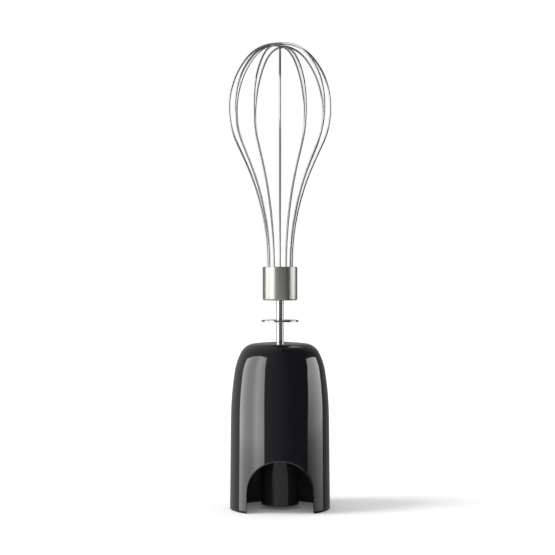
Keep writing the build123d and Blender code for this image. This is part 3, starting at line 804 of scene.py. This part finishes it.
class WHISK_OT_coupling_base(bpy.types.Operator):
    """Make the plate across the collar with its round boss and drive recess"""

    bl_idname = "whisk.coupling_base"
    bl_label = "Coupling base"

    def execute(self, context):
        c = settings().coupling
        low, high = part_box("coupling_base")
        mount = next(m for m in frame["record"]["mounts"] if m["name"] == "coupling_boss")
        boss = mount["dims"]["r_mm"] * MM
        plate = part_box("case_screws")[0].z
        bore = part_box("input_bush_upper")[1].x
        recess = boss - c.recess_wall
        recess_top = low.z + c.recess_depth
        corners = [
            (recess, low.z, c.mouth_rounding),
            (boss, low.z, c.edge_rounding),
            (boss, plate, c.mouth_rounding),
            (high.x, plate, 0),
            (high.x, high.z, 0),
            (bore, high.z, 0),
            (bore, recess_top, 0),
            (recess, recess_top, 0),
        ]
        piece = lathe("coupling_base_piece", rounded_outline(corners), finish_for("inner_gloss_black"))
        carve(piece, [self.head_seat(screw, plate) for screw in range(CASE_SCREWS)])
        dress(piece, "gearbox", "inner_gloss_black", "coupling_base")
        return {"FINISHED"}

    def head_seat(self, number, plate):
        """Round cutter for the sunk seat of one case screw's head."""
        vertices = frame["nodes"]["case_screws"].data.vertices
        reach = max(hypot(v.co.x, v.co.y) for v in vertices if v.co.z < plate + SAME_FACE)
        centre = polar(reach - HEAD_RADIUS, radians(FIRST_SCREW + 360 / CASE_SCREWS * number), 0)
        wide = HEAD_RADIUS + HEAD_GAP
        below = plate - CUTTER_PAST
        above = plate + SEAT_DEPTH
        outline = [Vector(p) for p in ((0, below), (wide, below), (wide, above), (0, above))]
        cutter = lathe("head_cutter", outline, None, SEAT_SIDES)
        cutter.data.transform(Matrix.Translation(centre))
        return cutter


class WHISK_OT_shaft(bpy.types.Operator):
    """Make the ground shaft with its driving flats, and the splash disc on it"""

    bl_idname = "whisk.shaft"
    bl_label = "Shaft and splash disc"

    def execute(self, context):
        w = settings().whisk
        low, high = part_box("whisk_shaft")
        bore = high.x
        outline = [(0, low.z), (bore, low.z), (bore, high.z - w.shaft_chamfer)]
        outline += [(bore - w.shaft_chamfer, high.z), (0, high.z)]
        outline = [Vector(p) for p in outline]
        shaft = lathe("whisk_shaft_piece", outline, finish_for("ground_shaft"), SHAFT_SIDES)
        foot = low.z - CUTTER_PAST
        top = low.z + w.flat_length
        wide = 2 * bore
        front = block("flat_cutter", (-wide, w.flat_half, foot), (wide, wide, top))
        back = block("flat_cutter", (-wide, -wide, foot), (wide, -w.flat_half, top))
        carve(shaft, [front, back])
        dress(shaft, "whisk", "polished_steel", "whisk_shaft")
        low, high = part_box("splash_disc")
        corners = [(bore, low.z, 0), (high.x, low.z, w.disc_rounding)]
        corners += [(high.x, high.z, w.disc_rounding), (bore, high.z, 0)]
        disc = lathe("splash_disc_piece", rounded_outline(corners), finish_for("polished_steel"))
        dress(disc, "whisk", "polished_steel", "splash_disc")
        return {"FINISHED"}


class WHISK_OT_ferrule(bpy.types.Operator):
    """Make the drawn steel cup round the foot of the wires"""

    bl_idname = "whisk.ferrule"
    bl_label = "Ferrule"

    def execute(self, context):
        w = settings().whisk
        low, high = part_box("ferrule")
        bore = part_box("whisk_shaft")[1].x
        inner = high.x - w.ferrule_wall
        corners = [
            (bore, low.z, 0),
            (high.x, low.z, w.ferrule_edge),
            (high.x, high.z, w.ferrule_lip),
            (inner, high.z, w.ferrule_lip),
            (inner, low.z + w.ferrule_wall, 0),
            (bore, low.z + w.ferrule_wall, 0),
        ]
        piece = lathe("ferrule_piece", rounded_outline(corners), finish_for("brushed_steel"))
        dress(piece, "whisk", "brushed_steel", "ferrule")
        return {"FINISHED"}


class WHISK_OT_wires(bpy.types.Operator):
    """Make the six wire loops that cross beside the axis"""

    bl_idname = "whisk.wires"
    bl_label = "Wire loops"

    def execute(self, context):
        w = settings().whisk
        for number in range(len(LOOP_LEGS)):
            run = loop_run(w, number)
            piece = tube(f"wire_loop_{number + 1}", run, w.wire_diameter, finish_for("wire_steel"))
            dress(piece, "whisk", "wire_steel", f"whisk_wire_{number + 1}")
        return {"FINISHED"}


class WHISK_OT_inner_parts(bpy.types.Operator):
    """Give every solid that stays in view its own finish"""

    bl_idname = "whisk.inner_parts"
    bl_label = "Finishes of the inner parts"

    def execute(self, context):
        for name, node in frame["nodes"].items():
            node.data.materials.clear()
            node.data.materials.append(finish_for(node_slot(name)))
            for polygon in node.data.polygons:
                polygon.material_index = 0
        return {"FINISHED"}


# ---- stage ----

# Brightness that a glossy surface sees at each azimuth, in degrees: the front is 0, the left is positive.
SURROUND = (
    (-180, 0.214), (-165, 0.153), (-130, 0.125), (-118, 0.075), (-66, 0.056), (-25, 0.071), (0, 0.122),
    (25, 0.189), (36, 0.209), (112, 0.28), (135, 0.275), (155, 0.23), (180, 0.214),
)
# Factor on it from straight down to straight up: the pale floor first, then the studio.
RISE = ((-90, 2.0), (-16, 1.8), (-12, 1.0), (90, 1.0))
# Brightness of the studio for matt surfaces, the same all round.
MATT_LIGHT = 0.58

# Softboxes, paper and flags are flat panels: (facing azimuth, lean, side range, level range). Sides and
# levels are distances across and up for a panel one unit away, and lean tilts it sideways as it rises. Each
# panel has its brightness across, as (share, brightness), and its fade, as (degrees of height, factor).
FULL = ((-90, 1), (90, 1))
# Panels add to the surround: the left softbox and the right one, a strip high at the back, and the lit paper
# in front of the arch, which only the boss inside it mirrors.
PANELS = (
    (
        (48, 0.13, (-0.2, 1.82), (-2, 0.9)),
        (
            (0, 0), (0.012, 2.448), (0.17, 3.315), (0.3, 1.989),
            (0.46, 1.938), (0.82, 2.85), (0.985, 2.5), (1, 0),
        ),
        ((-10, 0), (-9, 0.5), (-8.3, 0.57), (-6.3, 0.68), (-4.8, 1), (90, 1)),
    ),
    (
        (-69, -0.45, (-1.22, 0.0), (-2, 0.63)),
        ((0, 0), (0.02, 2.4), (0.5, 2.3), (0.985, 2.15), (1, 0)),
        (
            (-10, 0), (-9, 0.18), (-8.1, 0.21), (-6.2, 0.36), (-4.9, 0.52),
            (-4.5, 0.7), (0, 0.82), (7, 1), (90, 1),
        ),
    ),
    (
        (-160, 0, (-0.21, 0.23), (0.97, 1.9)),
        ((0, 0), (0.2, 1.02), (0.5, 0.816), (0.75, 0.408), (0.97, 0.357), (1, 0)),
        FULL,
    ),
    (
        (0, 0, (-1.2, 0.75), (-2, 2)),
        ((0, 0), (0.04, 0.4), (0.96, 0.38), (1, 0)),
        ((-90, 1), (-7.6, 1), (-6.8, 0), (90, 0)),
    ),
)
# Shades take away from it: over the inner and lower part of the right softbox, and high at the back.
SHADES = (
    (
        (-69, -0.45, (-0.6, 0.0), (-2, 0.63)),
        ((0, 0), (0.96, 0.62), (1, 0)),
        ((-90, 0.75), (-6, 0.75), (-4.9, 1), (0.6, 0.8), (5.7, 0.5), (10, 0), (90, 0)),
    ),
    ((180, 0, (-0.3, 0.3), (0.76, 1.08)), ((0, 0), (0.25, 0.168), (0.75, 0.168), (1, 0)), FULL),
)
# Distance over which a panel's top and foot fade out, for a panel one unit away.
PANEL_EDGE = 0.025

# Lamps for matt surfaces: name, azimuth, height and spread in degrees, power.
SUNS = (("key_light", 75, 50, 20, 1.42), ("front_light", 4, 24, 30, 0.3))
CLIP_START = 10 * MM

# What the camera sees of the paper: its colour, and a glow that is the same everywhere.
PAPER_GAIN = 1.14
PAPER_LIFT = 0.06
PAPER_ROUGH = (0.9, 1.0)
PAPER_SPACING = 40.0
PAPER_TONES = (0.995, 1.005)


def degree_stops(stops, most):
    """Ramp stops from (degrees, brightness), for a ramp that runs from minus the most to the most degrees."""
    return [((degree + most) / (2 * most), value) for degree, value in stops]


def background_rays(tree, path):
    """1 for the rays that see the background itself: the camera's and those through clear things."""
    rays = {0: path["Is Camera Ray"], 1: path["Is Transmission Ray"]}
    return add_node(tree, "Math", rays, operation="MAXIMUM")


def paint_panel(tree, ray, height, panel, across, fade):
    """Brightness of one flat panel of the studio along a ray."""
    facing, lean, sides, levels = panel
    x, y = -sin(radians(facing)), -cos(radians(facing))
    forward, aside, upward = (
        add_node(tree, "VectorMath", {0: ray, 1: axis}, operation="DOT_PRODUCT")
        for axis in ((x, y, 0), (y, -x, -lean), (0, 0, 1))
    )
    side, level = (
        add_node(tree, "Math", {0: reach, 1: forward}, operation="DIVIDE")
        for reach in (aside, upward)
    )
    share = {"Value": side, "From Min": sides[0], "From Max": sides[1]}
    share = add_node(tree, "MapRange", share)
    glow = add_node(tree, "ValToRGB", {"Fac": share}, across)
    masks = []
    for end, edge in ((levels[1], -PANEL_EDGE), (levels[0], PANEL_EDGE)):
        within = {"Value": level, "From Min": end, "From Max": end + edge}
        masks.append(add_node(tree, "MapRange", within))
    masks.append(add_node(tree, "ValToRGB", {"Fac": height}, degree_stops(fade, 90)))
    masks.append(add_node(tree, "Math", {0: forward, 1: 0.0}, operation="GREATER_THAN"))
    for mask in masks:
        glow = add_node(tree, "Math", {0: glow, 1: mask}, operation="MULTIPLY")
    return glow


def paint_world(world, mirrored_white):
    """White for the background, plain light for matt surfaces and the studio's panels for glossy ones."""
    world.use_nodes = True
    tree = world.node_tree
    tree.nodes.clear()
    ray = add_node(tree, "TexCoord").outputs["Generated"]
    parts = add_node(tree, "SeparateXYZ", {"Vector": ray}).outputs
    left, front = (
        add_node(tree, "Math", {0: parts[axis], 1: -1.0}, operation="MULTIPLY") for axis in "XY"
    )
    azimuth = add_node(tree, "Math", {0: left, 1: front}, operation="ARCTAN2")
    height = add_node(tree, "Math", {0: parts["Z"]}, operation="ARCSINE")
    azimuth, height = (
        add_node(tree, "MapRange", {"Value": angle, "From Min": -most, "From Max": most})
        for angle, most in ((azimuth, pi), (height, pi / 2))
    )
    glow = add_node(tree, "ValToRGB", {"Fac": azimuth}, degree_stops(SURROUND, 180))
    rise = add_node(tree, "ValToRGB", {"Fac": height}, degree_stops(RISE, 90))
    glow = add_node(tree, "Math", {0: glow, 1: rise}, operation="MULTIPLY")
    for panels, change in ((PANELS, "ADD"), (SHADES, "SUBTRACT")):
        for panel in panels:
            light = paint_panel(tree, ray, height, *panel)
            glow = add_node(tree, "Math", {0: glow, 1: light}, operation=change)
    glow = add_node(tree, "Math", {0: glow, 1: 0.0}, operation="MAXIMUM")
    path = add_node(tree, "LightPath").outputs
    mirrored = {"Factor": mirrored_white, "A": glow, "B": 1.0}
    mirrored = add_node(tree, "Mix", mirrored, data_type="FLOAT")
    level = {"Factor": path["Is Glossy Ray"], "A": MATT_LIGHT, "B": mirrored}
    level = add_node(tree, "Mix", level, data_type="FLOAT")
    level = {"Factor": background_rays(tree, path), "A": level, "B": 1.0}
    level = add_node(tree, "Mix", level, data_type="FLOAT")
    background = add_node(tree, "Background", {"Color": level, "Strength": 1.0})
    add_node(tree, "OutputWorld", {"Surface": background})


def add_sun(name, azimuth, height, spread_of_light, power):
    """A far lamp that lights matt surfaces only, because the painted studio holds its reflection."""
    lamp = bpy.data.lights.new(name, "SUN")
    lamp.angle = radians(spread_of_light)
    lamp.energy = power
    holder = bpy.data.objects.new(name, lamp)
    direction = polar(cos(radians(height)), -pi / 2 - radians(azimuth), sin(radians(height)))
    holder.rotation_euler = direction.to_track_quat("Z", "Y").to_euler()
    holder.visible_glossy = False
    bpy.context.scene.collection.objects.link(holder)


def floor_finish(base):
    """White studio paper: matt, and lifted to white for the camera so that only the shadow shows on it."""
    paper = finish("studio_paper", {"Metallic": 0.0}, base, PAPER_ROUGH, PAPER_SPACING, PAPER_TONES)
    tree = paper.node_tree
    shader = shader_of(tree)
    matt = shader.outputs["BSDF"]
    surface = matt.links[0].to_socket
    seen = background_rays(tree, add_node(tree, "LightPath").outputs)
    colour = shader.inputs["Base Color"].links[0].from_socket
    mix = {"Factor": seen, "A": colour, "B": (PAPER_GAIN, PAPER_GAIN, PAPER_GAIN, 1.0)}
    mixed = add_node(tree, "Mix", mix, data_type="RGBA")
    tree.links.new(mixed.outputs["Result"], shader.inputs["Base Color"])
    lift = add_node(tree, "Math", {0: seen, 1: PAPER_LIFT}, operation="MULTIPLY")
    lifted = add_node(tree, "AddShader", {0: matt, 1: add_node(tree, "Emission", {"Strength": lift})})
    tree.links.new(lifted.outputs["Shader"], surface)
    return paper


class WHISK_OT_stage(bpy.types.Operator):
    """Make the pale floor, the studio light and the camera"""

    bl_idname = "whisk.stage"
    bl_label = "Stage"

    def execute(self, context):
        s = settings().stage
        paper = floor_finish(settings().colours.floor)
        # The paper lies in two parts: glossy faces see the studio under the outer one, and the shaded one
        # inside the collar is what the boss and the inner wall mirror.
        angles = along(0, 2 * pi, ROUND_SIDES)[:-1]
        inner = settings().housing.rim_radius - settings().housing.wall
        shaded = [polar(inner, angle, 0) for angle in angles]
        around = [polar(s.floor_radius, angle, 0) for angle in angles]
        sheet = Quads()
        sheet.strip(shaded, around)
        floor = new_piece("studio_floor", sheet.points, sheet.faces, paper)
        floor.visible_glossy = False
        new_piece("studio_floor_inside", shaded, [tuple(range(ROUND_SIDES))], paper)
        scene = context.scene
        scene.world = bpy.data.worlds.new("studio_surround")
        paint_world(scene.world, s.mirrored_white)
        for sun in SUNS:
            add_sun(*sun)
        lens = bpy.data.cameras.new("view")
        lens.sensor_fit = "HORIZONTAL"
        lens.angle = 2 * atan(s.view_width / 2 / s.camera_distance)
        lens.clip_start = CLIP_START
        camera = bpy.data.objects.new("view", lens)
        camera.location = (s.camera_side, -s.camera_distance, s.camera_height)
        camera.rotation_euler = (pi / 2, 0, 0)
        scene.collection.objects.link(camera)
        scene.camera = camera
        scene.view_settings.view_transform = "Standard"
        return {"FINISHED"}


class WHISK_PT_panel(bpy.types.Panel):
    """Panel that lists the pieces of the attachment"""

    bl_idname = "WHISK_PT_panel"
    bl_label = "Whisk attachment"
    bl_space_type = "VIEW_3D"
    bl_region_type = "UI"
    bl_category = "Whisk"

    def draw(self, context):
        for operator in OPERATORS:
            self.layout.operator(operator.bl_idname)


GROUPS = (HousingSizes, CouplingSizes, WhiskSizes, StageSizes, FinishColours, WhiskAttachmentSettings)
OPERATORS = (
    WHISK_OT_inner_parts,
    WHISK_OT_housing,
    WHISK_OT_coupling_base,
    WHISK_OT_shaft,
    WHISK_OT_ferrule,
    WHISK_OT_wires,
    WHISK_OT_stage,
)
CLASSES = GROUPS + OPERATORS + (WHISK_PT_panel,)


def register():
    """Registers the settings, the operators and the panel."""
    for kind in CLASSES:
        bpy.utils.register_class(kind)
    bpy.types.Scene.whisk_attachment = bpy.props.PointerProperty(type=WhiskAttachmentSettings)


def unregister():
    """Takes them away again."""
    del bpy.types.Scene.whisk_attachment
    for kind in reversed(CLASSES):
        bpy.utils.unregister_class(kind)


def main():
    """Builds every piece in order."""
    register()
    bpy.ops.whisk.inner_parts()
    bpy.ops.whisk.housing()
    bpy.ops.whisk.coupling_base()
    bpy.ops.whisk.shaft()
    bpy.ops.whisk.ferrule()
    bpy.ops.whisk.wires()
    bpy.ops.whisk.stage()


if __name__ == "__main__":
    main()
